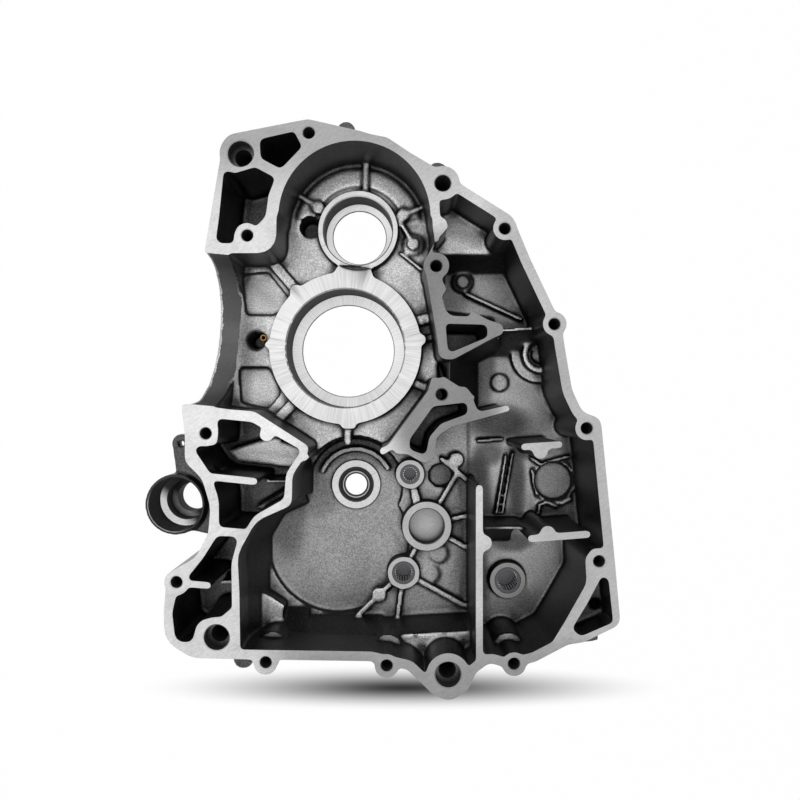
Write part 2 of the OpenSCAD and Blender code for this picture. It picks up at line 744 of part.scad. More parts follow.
// Stands the webs, partitions and bosses in the hollowed case
module raised_features() {
    level(right_floor_z - 1, joint_z) cast_plan() {
        crank_web();
        lower_web();
        partition_walls();
    }
    // Low runs of the walls between the chambers
    level(gearbox_floor_z - 1, joint_z - 4) {
        strip([78.2, -158], [78.2, -176], 3.9);
    }
    level(crank_floor_z - 1, joint_z - 18) bar([53.4, 61], [53.9, 46], 4);
    floor_bosses();
    gearbox_bosses();
    right_chamber_ribs();
    intersection() {
        level(pool_z - floor_t, joint_z) cast_plan() case_plan();
        floor_forms();
    }
}

// Windows that lighten the two webs
module web_windows() {
    level(right_floor_z + 3, joint_z + over) {
        polygon(rounded([[59, 11.6, 1.5], [82.5, 11, 2.5], [83, 4, 2.5], [60.5, -5.4, 2.5]]));
        polygon(rounded([[52, -35.2, 2], [71.5, -32.8, 2.5], [71.5, -39.5, 2.5], [56.5, -45, 6],
            [50, -52.5, 5],
            [48, -63, 2.5], [38.5, -59.5, 3], [39, -53.5, 3]]));
    }
}

// Bosses on the outer side round the blind oil passages
module passage_bosses() {
    put(jet_hole_at, crank_floor_z - passage_depth - lip_t)
        cylinder(r = passage_r + 3.7, h = passage_depth);
    put(drain_at, crank_floor_z - drain_depth - lip_t) cylinder(r = drain_r + 3, h = drain_depth);
}

module mounting_eye() {
    put(eye_at, eye_top_z - eye_len) cylinder(r = eye_r, h = eye_len);
    level(eye_top_z - eye_len, eye_top_z - 3) difference() {
        polygon(outline([[-97, -76], [-86, -66], [-72, -72], [-72, -112], [-90, -108]]));
        put(eye_at) circle(eye_seat_r);
    }
    put(lug_at, lug_z - lug_t) cylinder(r = lug_r, h = lug_t);
    level(lug_z - lug_t, lug_z) polygon(outline([[-101, -57], [-98, -78], [-84, -72], [-86, -52]]));
}

// Machined bores and holes
module machining() {
    // Crank bearing seat and shaft opening
    translate([0, 0, -crank_seat_depth]) cylinder(r = crank_seat_r, h = joint_z + crank_seat_depth + over);
    translate([0, 0, -crank_seat_depth - lip_t - over]) cylinder(r = crank_opening_r, h = lip_t + 2 * over);
    // Balancer bearing seat and shaft opening
    put(balancer_at, balancer_face_z - balancer_seat_depth)
        cylinder(r = balancer_seat_r, h = balancer_seat_depth + over);
    put(balancer_at, balancer_face_z - balancer_seat_depth - lip_t - over)
        cylinder(r = balancer_opening_r, h = lip_t + 2 * over);
    // Half bore for the cylinder liner, square to the deck
    put(spigot_at, joint_z) rotate([0, 90, -deck_tilt])
        translate([0, 0, -30]) cylinder(r = spigot_r, h = 30 + spigot_len + meet);
    // Joint bolt holes
    for (p = concat(rim_bolts, web_bolts))
        put(p, joint_z - bolt_hole_depth) cylinder(r = bolt_hole_r, h = bolt_hole_depth + over);
    // Counterbored dowel holes
    for (p = dowels) {
        put(p, joint_z - dowel_depth) cylinder(r = dowel_r, h = dowel_depth + over);
        put(p, joint_z - dowel_hole_depth) cylinder(r = dowel_hole_r, h = dowel_hole_depth);
    }
    put(hanger_at, joint_z - hanger_depth) cylinder(r = hanger_r, h = hanger_depth + over);
    // Needle bearing seats
    needle_seat(upper_needle_at, upper_shaft_d);
    needle_seat(lower_needle_at, lower_shaft_d);
    needle_seat(right_needle_at, right_shaft_d);
    // Shift drum, kick shaft and seal seats
    put(drum_at, drum_face_z - drum_depth) cylinder(r = drum_seat_r, h = drum_depth + over);
    put(kick_at, kick_face_z - kick_depth) cylinder(r = kick_seat_r, h = kick_depth + 8);
    put(seal_at, seal_face_z - seal_w) cylinder(d = seal_od, h = seal_w + over);
    put(seal_at, bottom_z - over)
        cylinder(d = seal_shaft_d + 2, h = seal_face_z - seal_w - bottom_z + 2 * over);
    // Oil passage beside the crank boss, the jet's seat and the balancer oil drain
    put(jet_hole_at, crank_floor_z - passage_depth) cylinder(r = passage_r, h = passage_depth + 2);
    put(jet_hole_at, crank_floor_z - 2) cylinder(r = passage_recess_r, h = 4);
    put(jet_at, jet_seat_z) cylinder(r = jet_r, h = jet_len + 4);
    put(drain_at, crank_floor_z - drain_depth) cylinder(r = drain_r, h = drain_depth + 4);
    // Eye: bush seat, step and bolt passage
    put(eye_at, eye_top_z - eye_seat_depth) cylinder(r = eye_seat_r, h = eye_seat_depth + over);
    put(eye_at, eye_top_z - eye_step_depth)
        cylinder(r = eye_step_r, h = eye_step_depth - eye_seat_depth + over);
    put(eye_at, eye_top_z - eye_len - over) cylinder(r = eye_passage_r, h = eye_len);
    put(lug_at, lug_z - lug_t - over) cylinder(r = lug_hole_r, h = lug_t + 2 * over);
    // Hole in the corner pocket, and a round cast recess in the gearbox floor
    put(corner_hole_at, corner_pocket_z - corner_hole_depth)
        cylinder(r = bolt_hole_r, h = corner_hole_depth + 2);
    put(floor_recess_at, pool_z) cylinder(r = floor_recess_r, h = 4);
    // Cover bolt holes from the outer side
    for (b = concat(cover_bosses, outer_bolts))
        put(b, bottom_z - over) cylinder(r = cover_hole_r, h = cover_hole_depth + over);
}

module needle_seat(at, shaft_d) {
    put(at, gearbox_boss_z - cup_len) cylinder(r = needle_seat_r(shaft_d), h = cup_len + 8);
}

module crankcase_casting() {
    color("#9a9c9e")
        difference() {
            union() {
                difference() {
                    case_shell();
                    outer_hollows();
                }
                raised_features();
                passage_bosses();
                mounting_eye();
            }
            web_windows();
            machining();
        }
}

// Drawn cup: closed at its foot, with its mouth rolled inwards over the cage
module needle_cup(at, shaft_d) {
    r = needle_seat_r(shaft_d);
    put(at, gearbox_boss_z - cup_len)
        color("#c9ccd0") difference() {
            cylinder(r = r, h = cup_len);
            translate([0, 0, cup_wall]) cylinder(r = r - cup_wall, h = cup_len - 2 * cup_wall);
            translate([0, 0, cup_len - cup_wall - over])
                cylinder(r = shaft_d / 2 + 0.35, h = cup_wall + 2 * over);
        }
}

function roller_r() = (needle_section - cup_wall - needle_gap) / 2;
function pitch_r(shaft_d) = shaft_d / 2 + roller_r();
function roller_count(shaft_d) = floor(360 / (2 * asin(1.35 * roller_r() / pitch_r(shaft_d))));
function cage_len() = cup_len - 2 * cup_wall - 2 * needle_gap;

// Sleeve with a window for each roller
module needle_cage(at, shaft_d) {
    n = roller_count(shaft_d);
    put(at, gearbox_boss_z - cup_len + cup_wall + needle_gap)
        color("#8d9094") difference() {
            cylinder(r = pitch_r(shaft_d) + 0.4, h = cage_len());
            translate([0, 0, -over]) cylinder(r = pitch_r(shaft_d) - 0.15, h = cage_len() + 2 * over);
            for (k = [0:n - 1])
                rotate(360 * k / n) translate([0, -roller_r() - 0.02, cage_end])
                    cube([2 * pitch_r(shaft_d), 2 * roller_r() + 0.04, cage_len() - 2 * cage_end]);
        }
}

module needle_rollers(at, shaft_d) {
    n = roller_count(shaft_d);
    put(at, gearbox_boss_z - cup_len + cup_wall + needle_gap + cage_end + 0.02)
        color("#dfe2e6") for (k = [0:n - 1])
            rotate(360 * k / n) translate([pitch_r(shaft_d), 0, 0])
                cylinder(r = roller_r(), h = cage_len() - 2 * cage_end - 0.04);
}

module upper_needle_cup() { needle_cup(upper_needle_at, upper_shaft_d); }
module upper_needle_cage() { needle_cage(upper_needle_at, upper_shaft_d); }
module upper_needle_rollers() { needle_rollers(upper_needle_at, upper_shaft_d); }
module lower_needle_cup() { needle_cup(lower_needle_at, lower_shaft_d); }
module lower_needle_cage() { needle_cage(lower_needle_at, lower_shaft_d); }
module lower_needle_rollers() { needle_rollers(lower_needle_at, lower_shaft_d); }
module right_needle_cup() { needle_cup(right_needle_at, right_shaft_d); }
module right_needle_cage() { needle_cage(right_needle_at, right_shaft_d); }
module right_needle_rollers() { needle_rollers(right_needle_at, right_shaft_d); }

// Lip seal: a rubber ring with a groove that opens upwards for the garter spring
module shift_shaft_seal() {
    shaft_r = seal_shaft_d / 2;
    web = 1.6;
    put(seal_at, seal_face_z - seal_w)
        color("#1c1c1d") rotate_extrude($fn = 96)
            difference() {
                polygon([[shaft_r + 1, 0], [seal_od / 2, 0], [seal_od / 2, seal_w],
                    [seal_od / 2 - seal_shell, seal_w],
                    [seal_od / 2 - seal_shell, web], [shaft_r + seal_lip, web],
                    [shaft_r + seal_lip, seal_w - 0.5],
                    [shaft_r, seal_w - 0.5], [shaft_r - 0.2, seal_w - 1.4], [shaft_r + 1, seal_w - 2.6]]);
                translate([spring_ring_r, seal_w - 0.5]) circle(spring_r + 0.02, $fn = 32);
            }
}

module seal_garter_spring() {
    put(seal_at, seal_face_z - 0.5)
        color("#b9bcc0") rotate_extrude($fn = 96) translate([spring_ring_r, 0]) circle(spring_r, $fn = 32);
}

// Brass oil jet pressed into its seat, with a cone-shaped mouth
module oil_jet() {
    put(jet_at, jet_seat_z)
        color("#b08a4a") rotate_extrude($fn = 64)
            polygon([[jet_orifice_r, 0], [jet_r, 0], [jet_r, jet_len - 0.6], [jet_r - 0.5, jet_len],
                [1.3, jet_len],
                [jet_orifice_r, jet_len - 1.2]]);
}

crankcase_casting();
upper_needle_cup();
upper_needle_cage();
upper_needle_rollers();
lower_needle_cup();
lower_needle_cage();
lower_needle_rollers();
right_needle_cup();
right_needle_cage();
right_needle_rollers();
shift_shaft_seal();
seal_garter_spring();
oil_jet();
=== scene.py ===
"""Looks of a motorcycle crankcase half that lies with its joint face up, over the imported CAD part.

The casting is made as the real part is: a rough casting with rounded edges and fillets first, which is
then faced, bored and drilled. Its constants, and the sizes in mesh functions, are millimetres in the
part's own frame. Lights, camera and the ramps of the materials are in metres.
"""
import math

import bmesh
import bpy
import numpy as np
from mathutils import Matrix, Vector
from mathutils.bvhtree import BVHTree

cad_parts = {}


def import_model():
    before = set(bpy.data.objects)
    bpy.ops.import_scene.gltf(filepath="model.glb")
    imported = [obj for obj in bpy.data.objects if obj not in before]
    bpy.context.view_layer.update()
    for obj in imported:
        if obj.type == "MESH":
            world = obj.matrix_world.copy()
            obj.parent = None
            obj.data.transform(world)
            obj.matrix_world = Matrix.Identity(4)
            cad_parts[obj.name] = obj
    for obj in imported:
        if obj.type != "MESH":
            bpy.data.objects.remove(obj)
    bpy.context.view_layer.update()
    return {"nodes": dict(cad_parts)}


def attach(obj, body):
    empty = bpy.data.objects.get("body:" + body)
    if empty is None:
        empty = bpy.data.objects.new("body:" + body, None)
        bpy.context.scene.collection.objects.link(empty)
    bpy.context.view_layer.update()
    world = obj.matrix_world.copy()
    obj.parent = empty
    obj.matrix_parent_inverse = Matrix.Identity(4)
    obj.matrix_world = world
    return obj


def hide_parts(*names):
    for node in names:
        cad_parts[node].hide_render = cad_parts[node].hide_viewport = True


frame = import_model()
scene = bpy.context.scene
MM = 0.001

# Levels above the crank boss face, the stock left on machined faces, and the ends of plugs in that stock
JOINT, FOOT = 27.0, -35.0
STOCK = 3.0
PLUG_TOP, PLUG_FOOT = JOINT + STOCK - 0.2, FOOT - STOCK + 0.2

# Places on the part
CRANK = (0, 0)
RIM_BOLTS = [(-18.3, 119.7), (92.7, 65.5), (120.8, 11.4), (139.1, -47.6), (146.1, -122.9), (97.9, -180.9),
             (25.8, -181.9), (-42.7, -180.1), (-93.2, -134.7), (-76.7, -50.5), (-53.2, 61.6)]
WEB_BOLTS = [(53.9, 44.4), (57, -28.4)]
DOWELS = [(-56.9, 107.8), (-70.5, -166), (60.6, -187.1)]
COVER_HOLES = [(1.8, 126.1), (55.3, 101), (-58.4, -183), (150.5, -118), (-62, 100), (93, 66), (120, 12),
               (139, -48), (98, -179), (26, -180), (-92, -134), (-77, -51)]
BALANCER, DRUM, SEAL = (7.6, 72), (50.2, -111), (5.2, -85.8)
KICK, EYE, HANGER = (131.4, -83.3), (-97.5, -92.5), (57.6, 91.2)
NEEDLES = {"upper": (39.7, -78.5, 8), "lower": (35.6, -140.7, 10), "right": (101.4, -145.5, 12)}
DECK_TOP, DECK_FOOT = (-77.3, 51.8), (-85.5, -34)
# Pads and nubs of the crank boss ring, whose face is machined with it
RING_PADS = [[(-8, 44), (17.5, 42), (15, 49.5), (-4.7, 49.5)], [(-46, -1), (-44, 2), (-46, 5.5), (-49.4, 2)],
             [(-3.4, -45), (-1.5, -49), (5.5, -49), (7.4, -45)]]
RING_NUBS = [(-29.8, 34.7, 3.9), (45.9, 5.2, 3.2)]
RING_FACE, EYE_OUTSIDE = 50.5, 18.6
# The ledge behind the slope at the foot dowel
FOOT_LEDGE = [(31, -177), (36, -181), (42, -184), (46, -187), (74, -187), (76.6, -181), (76.6, -171.2),
              (31, -173.6)]

# Bosses as cast, and the faces that are milled: place, radius, foot of the boss and height of its face
NEEDLE_FACE, BOSS_WALL, MILL_WALL = -14, 4.9, 6
BOSSES = [(CRANK, 46.2, -22, 0), (BALANCER, 24.2, -17, -2), (DRUM, 15.3, -17, -12.5), (SEAL, 15, -24, -21)]
MILLED = [(CRANK, RING_FACE, 0), (BALANCER, 24.8, -2), (DRUM, 17, -12.5), (SEAL, 16.2, -21)]

# Bores as (radius, height) from below upwards, with their lips, steps and chamfers
BELOW = FOOT - 5
CRANK_BORE = [(0, BELOW), (29.4, BELOW), (29.4, -24.8), (30, -24.2), (36, -23), (36, -0.8), (36.82, 0.02),
              (36.82, 8), (0, 8)]
BALANCER_BORE = [(0, BELOW), (16.8, BELOW), (16.8, -19.3), (17.3, -18.8), (21, -18), (21, -2.6),
                 (21.62, -1.98), (21.62, 6), (0, 6)]
EYE_BORE = [(0, BELOW), (9, BELOW), (9, -13), (12.4, -13), (12.4, -3.6), (15.8, -2), (15.8, 16.5),
            (16.32, 17.02), (16.32, 22), (0, 22)]
KICK_BORE = [(0, -21), (12.5, -21), (12.5, -18.9), (12.9, -18.48), (12.9, -10), (0, -10)]
SEAL_BORE = [(0, BELOW), (8, BELOW), (8, -26), (11, -26), (11, -21.4), (11.42, -20.98), (11.42, -15), (0, -15)]
DOWEL_BORE = [(0, -9), (5, -7), (5, 19.5), (7.2, 19.5), (7.2, JOINT - 0.6), (7.82, JOINT + 0.02),
              (7.82, JOINT + 2), (0, JOINT + 2)]
COVER_BORE = [(0, FOOT - 2), (2.5, FOOT - 2), (2.5, FOOT + 2), (2.5, -24.5), (0, -26)]

# How the casting's surface is made: voxel, smoothing, faces before machining, and angle of a sharp edge
VOXEL, SMOOTHING, SMOOTHINGS, CAST_FACES, SHARP = 0.95, 0.6, 6, 205000, 32

# Grid of the rays that measure how open a place is: step, corner, size, and the height that means no part
SIGHT, CORNER = 0.6, (-122, -208)
ROWS, COLUMNS = int(348 / SIGHT), int(288 / SIGHT)
NOTHING = 100.0
# Painted shade on the ledges in the blocks' pockets: between two heights, and the light kept there
LEDGE_SHADES = [(5.5, 9.5, 0.4), (9.5, 18, 0.06)]

# Painted shade on the floors, and painted light where the light kept is above 1: x, y, half width, half height
# and the light kept at their middle
PAINTED_SHADE_AND_LIGHT = [(97, -46, 20, 12, 0.08), (88, -12, 7, 20, 0.2), (75, -16, 10, 22, 0.1), (90, -66, 10, 8, 0.2),
          (84, -100, 9, 34, 0.07), (108, -82, 6, 22, 0.1), (70, 42, 9, 18, 0.35), (-24, -92, 22, 15, 0.5),
          (-38, -106, 11, 28, 0.35), (46, -106, 9, 8, 0.3), (55, -114, 7, 7, 1.5), (81, -77, 9, 9, 0.1),
          (60, -79, 8, 8, 0.4), (5, -69, 22, 7, 0.6), (-67, 4, 9, 44, 0.4), (-58, 4, 10, 18, 0.5),
          (84, -146, 7, 18, 0.12), (106, -123, 13, 6, 0.2), (8, 118, 50, 14, 1.6), (51, 35, 8, 60, 1.7),
          (78, 84, 16, 12, 1.8), (124, -136, 11, 20, 1.9), (125, -2, 7, 8, 1.6), (112, 30, 10, 14, 1.4),
          (128, -106, 16, 6, 0.2), (116, -65, 8, 5, 0.15), (98, -90, 3, 20, 1.8), (118, -30, 12, 22, 1.3)]


# ---- mesh helpers -----------------------------------------------------------------------------------
def new_object(name, mesh):
    """A linked object of that mesh, at the origin."""
    obj = bpy.data.objects.new(name, mesh)
    scene.collection.objects.link(obj)
    return obj


def mesh_of(name, points, faces):
    """A mesh of points in millimetres."""
    mesh = bpy.data.meshes.new(name)
    mesh.from_pydata([tuple(MM * c for c in p) for p in points], [], faces)
    mesh.update()
    return mesh


def revolve(profile, centre, steps):
    """Points and faces of a profile turned about a vertical axis.

    Point k of ring j is (x, y, z) = (cx + r cos t, cy + r sin t, z) with t = 2 pi k / steps, where (r, z) is
    the profile's point j. A radius of 0 is one point.
    """
    cx, cy = centre
    points, rings, faces = [], [], []
    turns = [2 * math.pi * k / steps for k in range(steps)]
    for r, z in profile:
        if r == 0:
            rings.append([len(points)] * steps)
            points.append((cx, cy, z))
            continue
        rings.append(list(range(len(points), len(points) + steps)))
        points += [(cx + r * math.cos(t), cy + r * math.sin(t), z) for t in turns]
    for low, high in zip(rings, rings[1:]):
        for k in range(steps):
            n = (k + 1) % steps
            corners = [low[k], low[n], high[n], high[k]]
            face = [c for i, c in enumerate(corners) if c not in corners[:i]]
            if len(face) > 2:
                faces.append(tuple(face))
    return points, faces


def rod(at, r, low, high, steps):
    """An upright cylinder between two heights."""
    return revolve([(0, low), (r, low), (r, high), (0, high)], at, steps)


def drill(at, r, low, face, top, chamfer=0.5):
    """A drill with a chamfered mouth at a face, that runs on upwards above it."""
    over = 0.02
    mouth = r + chamfer + over
    profile = [(0, low), (r, low), (r, face - chamfer), (mouth, face + over), (mouth, top), (0, top)]
    return revolve(profile, at, 72)


def prism(outline, low, high):
    """Points and faces of an outline, counter-clockwise from above, between two heights."""
    n = len(outline)
    points = [(x, y, low) for x, y in outline] + [(x, y, high) for x, y in outline]
    faces = [tuple(reversed(range(n))), tuple(range(n, 2 * n))]
    faces += [(k, (k + 1) % n, n + (k + 1) % n, n + k) for k in range(n)]
    return points, faces


def gather(name, solids):
    """One mesh of several (points, faces) solids."""
    points, faces = [], []
    for more_points, more_faces in solids:
        shift = len(points)
        points += more_points
        faces += [tuple(i + shift for i in f) for f in more_faces]
    return mesh_of(name, points, faces)


def run_modifier(obj, kind, **settings):
    """Adds a modifier and applies it."""
    modifier = obj.modifiers.new(kind, kind)
    for key, value in settings.items():
        setattr(modifier, key, value)
    graph = bpy.context.evaluated_depsgraph_get()
    mesh = bpy.data.meshes.new_from_object(obj.evaluated_get(graph), depsgraph=graph)
    obj.modifiers.remove(modifier)
    old = obj.data
    obj.data = mesh
    bpy.data.meshes.remove(old)


def cut(obj, solids, material):
    """Takes solids away from obj. Where they cut, the face gets that material."""
    mesh = gather("cutter", solids)
    mesh.materials.append(material)
    tool = new_object("cutter", mesh)
    before = len(obj.data.polygons)
    run_modifier(obj, "BOOLEAN", operation="DIFFERENCE", object=tool, solver="MANIFOLD",
                 material_mode="TRANSFER")
    if len(obj.data.polygons) == before:
        print("a cut changed nothing")
    bpy.data.objects.remove(tool)
    bpy.data.meshes.remove(mesh)


# ---- the casting ------------------------------------------------------------------------------------
def raw_casting():
    """The CAD casting as cast: stock on its machined faces, and its bores still closed."""
    mesh = frame["nodes"]["crankcase_casting"].data.copy()
    mesh.materials.clear()
    bm = bmesh.new()
    bm.from_mesh(mesh)
    bmesh.ops.remove_doubles(bm, verts=bm.verts, dist=2e-6)
    for v in bm.verts:
        if abs(v.co.z - JOINT * MM) < 1e-5:
            v.co.z += STOCK * MM
        elif abs(v.co.z - FOOT * MM) < 1e-5:
            v.co.z -= STOCK * MM
    plugs = [rod(at, r, foot, face + 2, 64) for at, r, foot, face in BOSSES]
    plugs += [rod((x, y), d / 2 + BOSS_WALL, NEEDLE_FACE - 4, NEEDLE_FACE + 2, 64)
              for x, y, d in NEEDLES.values()]
    plugs += [rod(at, 4, -19.5, PLUG_TOP, 24) for at in RIM_BOLTS + WEB_BOLTS]
    plugs += [rod(at, 8, 0, PLUG_TOP, 32) for at in DOWELS]
    plugs += [rod(at, 3, PLUG_FOOT, FOOT + 13, 24) for at in COVER_HOLES]
    plugs += [prism(outline, -4, 2) for outline in RING_PADS]
    plugs += [rod((x, y), r, -4, 2, 32) for x, y, r in RING_NUBS]
    plugs += [rod(EYE, 16.6, -22.5, 16.5, 64), rod(HANGER, 5.4, 0.5, PLUG_TOP, 32), prism(FOOT_LEDGE, -20, 3.4)]
    plug_mesh = gather("plugs", plugs)
    bm.from_mesh(plug_mesh)
    bm.to_mesh(mesh)
    bm.free()
    bpy.data.meshes.remove(plug_mesh)
    return new_object("case_casting", mesh)


def machine(obj, metal):
    """Faces, bores and drills the rough casting."""
    box = [(-140, -240), (190, -240), (190, 170), (-140, 170)]
    faces = [prism(box, JOINT, JOINT + 8), prism(box, FOOT - 8, FOOT)]
    faces += [rod(at, r, face, face + 5, 96) for at, r, face in MILLED]
    faces += [rod((x, y), d / 2 + MILL_WALL, NEEDLE_FACE, NEEDLE_FACE + 5, 96)
              for x, y, d in NEEDLES.values()]
    cut(obj, faces, metal)
    bores = [drill(at, 3.3, -19, JOINT, JOINT + 2) for at in RIM_BOLTS + WEB_BOLTS]
    bores += [revolve(DOWEL_BORE, at, 72) for at in DOWELS]
    bores += [drill(HANGER, 4.6, 1, JOINT, JOINT + 2), revolve(CRANK_BORE, CRANK, 192),
              revolve(BALANCER_BORE, BALANCER, 128), revolve(EYE_BORE, EYE, 96), revolve(KICK_BORE, KICK, 72),
              revolve(SEAL_BORE, SEAL, 96), drill(DRUM, 11, -19.8, -12.5, -6)]
    bores += [drill((x, y), d / 2 + 2, -26, NEEDLE_FACE, -8, chamfer=0.3) for x, y, d in NEEDLES.values()]
    bores += [revolve(COVER_BORE, at, 32) for at in COVER_HOLES]
    cut(obj, bores, metal)
    cut(obj, [spigot_cutter()], metal)


def spigot_cutter():
    """The half bore for the liner: a cylinder in the joint plane, square to the deck.

    An upright cylinder's z axis is laid along the normal of the deck's line, through the line's middle, and
    its x axis points down.
    """
    points, faces = rod((0, 0), 43, -30, 14.05, 256)
    (tx, ty), (fx, fy) = DECK_TOP, DECK_FOOT
    tilt = math.atan2(tx - fx, ty - fy)
    ex, ey = math.cos(tilt), -math.sin(tilt)
    cx, cy = (tx + fx) / 2, (ty + fy) / 2
    turned = [(cx + ex * z - ey * y, cy + ey * z + ex * y, JOINT - x) for x, y, z in points]
    return turned, faces


def casting(cast, metal):
    """The finished casting: remeshed and smoothed for its cast fillets, then machined."""
    obj = raw_casting()
    run_modifier(obj, "REMESH", mode="VOXEL", voxel_size=VOXEL * MM, adaptivity=0)
    run_modifier(obj, "SMOOTH", factor=SMOOTHING, iterations=SMOOTHINGS)
    run_modifier(obj, "TRIANGULATE")
    run_modifier(obj, "DECIMATE", ratio=min(1, CAST_FACES / len(obj.data.polygons)))
    obj.data.materials.append(cast)
    machine(obj, metal)
    run_modifier(obj, "TRIANGULATE")
    store_openness(obj)
    obj.data.shade_smooth()
    obj.data.set_sharp_from_angle(angle=math.radians(SHARP))
    sharpen_machined_edges(obj.data)
    return obj


def heights(tree, way):
    """Heights in millimetres where rays from above (way 1) or below (way -1) meet the part, over a grid."""
    grid = np.full((ROWS, COLUMNS), -way * NOTHING)
    down = Vector((0, 0, -way))
    for j in range(ROWS):
        for i in range(COLUMNS):
            start = Vector(((CORNER[0] + i * SIGHT) * MM, (CORNER[1] + j * SIGHT) * MM, way * NOTHING * MM))
            hit = tree.ray_cast(start, down)[0]
            if hit:
                grid[j, i] = hit.z / MM
    return grid


def soft(value, low, high):
    """0 up to low, 1 from high on, and 3tt - 2ttt between them."""
    t = np.clip((value - low) / (high - low), 0, 1)
    return t * t * (3 - 2 * t)


def openness(tree, way, x, y, z):
    """How much sky each point sees, 0 to 1, and in what share of directions there is no part beside it.

    In each of 16 directions the part's height is read at ten distances. s is the largest slope up to it, less
    0.3 mm of slack, and the direction's share of sky is 1 - s / sqrt(1 + ss), or 1 less the sine of the angle.
    The mean share within 6 mm gives the dark lines at the feet of walls. It is multiplied by 0.35 to 1 for the
    mean share within 27 mm, which is small in deep pockets. "Beside" is 4 mm off.
    """
    height = heights(tree, way)
    directions, reaches = 16, (0.8, 1.6, 2.4, 3.2, 4, 6, 9, 13, 19, 27)
    near, far, beside = np.zeros(len(x)), np.zeros(len(x)), np.zeros(len(x))
    for turn in np.linspace(0, 2 * math.pi, directions, endpoint=False):
        steepest = np.zeros(len(x))
        for reach in reaches:
            i = np.rint((x + reach * math.cos(turn) - CORNER[0]) / SIGHT).astype(int)
            j = np.rint((y + reach * math.sin(turn) - CORNER[1]) / SIGHT).astype(int)
            there = height[np.clip(j, 0, ROWS - 1), np.clip(i, 0, COLUMNS - 1)]
            steepest = np.maximum(steepest, (way * (there - z) - 0.3) / reach)
            if reach == 4:
                beside += np.abs(there) == NOTHING
            if reach == 6:
                near += 1 - steepest / np.sqrt(1 + steepest ** 2)
        far += 1 - steepest / np.sqrt(1 + steepest ** 2)
    sky = soft(near / directions, 0.45, 0.8) * (0.35 + 0.65 * soft(far / directions, 0.1, 0.55))
    return sky, beside / directions


def store_openness(obj):
    """Attributes for the painted shade in corners: "open" on floors, "outside" on outer walls.

    "open" is the sky that a point sees, from below where the surface faces down, and evened out with its
    neighbours. The ledges in the blocks' pockets keep only part of it.
    """
    mesh = obj.data
    n = len(mesh.vertices)
    places, normals = np.zeros(n * 3, np.float32), np.zeros(n * 3, np.float32)
    mesh.vertices.foreach_get("co", places)
    mesh.vertex_normals.foreach_get("vector", normals)
    x, y, z = places.reshape(-1, 3).T / MM
    faces_down = normals.reshape(-1, 3)[:, 2] < -0.3
    tree = BVHTree.FromObject(obj, bpy.context.evaluated_depsgraph_get())
    sky_above, outside = openness(tree, 1, x, y, z)
    sky_below = openness(tree, -1, x, y, z)[0]
    value = np.where(faces_down, sky_below, sky_above)
    # Painted shade: between the ledges' heights the sky share is cut to the light kept there
    for low, high, kept in LEDGE_SHADES:
        value = np.where((z > low) & (z < high), value * kept, value)
    value = np.clip(value, 0, 1)
    ends = np.zeros(len(mesh.edges) * 2, np.int64)
    mesh.edges.foreach_get("vertices", ends)
    a, b = ends.reshape(-1, 2).T
    around = np.bincount(a, value[b], n) + np.bincount(b, value[a], n)
    value = 0.6 * value + 0.4 * around / np.maximum(np.bincount(ends, minlength=n), 1)
    for name, numbers in (("open", value), ("outside", outside)):
        mesh.attributes.new(name, "FLOAT", "POINT").data.foreach_set("value", numbers.astype(np.float32))


def sharpen_machined_edges(mesh):
    """Edges between a cast and a machined face are sharp, so that machined faces shade as flats."""
    loops = np.zeros(len(mesh.loops), np.int64)
    mesh.loops.foreach_get("edge_index", loops)
    slots = np.zeros(len(mesh.polygons), np.int64)
    mesh.polygons.foreach_get("material_index", slots)
    sides = np.zeros(len(mesh.polygons), np.int64)
    mesh.polygons.foreach_get("loop_total", sides)
    total, machined = np.zeros(len(mesh.edges), np.int64), np.zeros(len(mesh.edges), np.int64)
    np.add.at(total, loops, 1)
    np.add.at(machined, loops, np.repeat(slots, sides))
    sharp = mesh.attributes.get("sharp_edge") or mesh.attributes.new("sharp_edge", "BOOLEAN", "EDGE")
    flags = np.zeros(len(mesh.edges), bool)
    sharp.data.foreach_get("value", flags)
    sharp.data.foreach_set("value", flags | ((machined > 0) & (machined < total)))


# ---- materials --------------------------------------------------------------------------------------
class Value:
    """A number in a material's node tree. Its operators add Math nodes."""

    def __init__(self, tree, socket):
        self.tree, self.socket = tree, socket

    def feed(self, node, values, mode):
        """Sets the node's mode and inputs, and gives its first output."""
        setattr(node, *mode)
        for slot, value in zip(node.inputs, values):
            if isinstance(value, Value):
                self.tree.links.new(value.socket, slot)
            else:
                slot.default_value = value
        return Value(self.tree, node.outputs[0])

    def math(self, operation, *others):
        return self.feed(self.tree.nodes.new("ShaderNodeMath"), (self, *others), ("operation", operation))

    def ramp(self, low, high, out_low=0.0, out_high=1.0):
        """Runs from out_low to out_high as the value goes from low to high, with soft ends."""
        node = self.tree.nodes.new("ShaderNodeMapRange")
        return self.feed(node, (self, low, high, out_low, out_high), ("interpolation_type", "SMOOTHSTEP"))

    def clamped(self):
        return self.math("MAXIMUM", 0.0).math("MINIMUM", 1.0)

    def __add__(self, other): return self.math("ADD", other)
    def __sub__(self, other): return self.math("SUBTRACT", other)
    def __mul__(self, other): return self.math("MULTIPLY", other)
    def __truediv__(self, other): return self.math("DIVIDE", other)
    def __rsub__(self, other): return self * -1 + other


def highest(first, *others):
    """The largest of several values."""
    for other in others:
        first = first.math("MAXIMUM", other)
    return first


def grey(level):
    """A grey of that linear level."""
    return (level, level, level, 1)


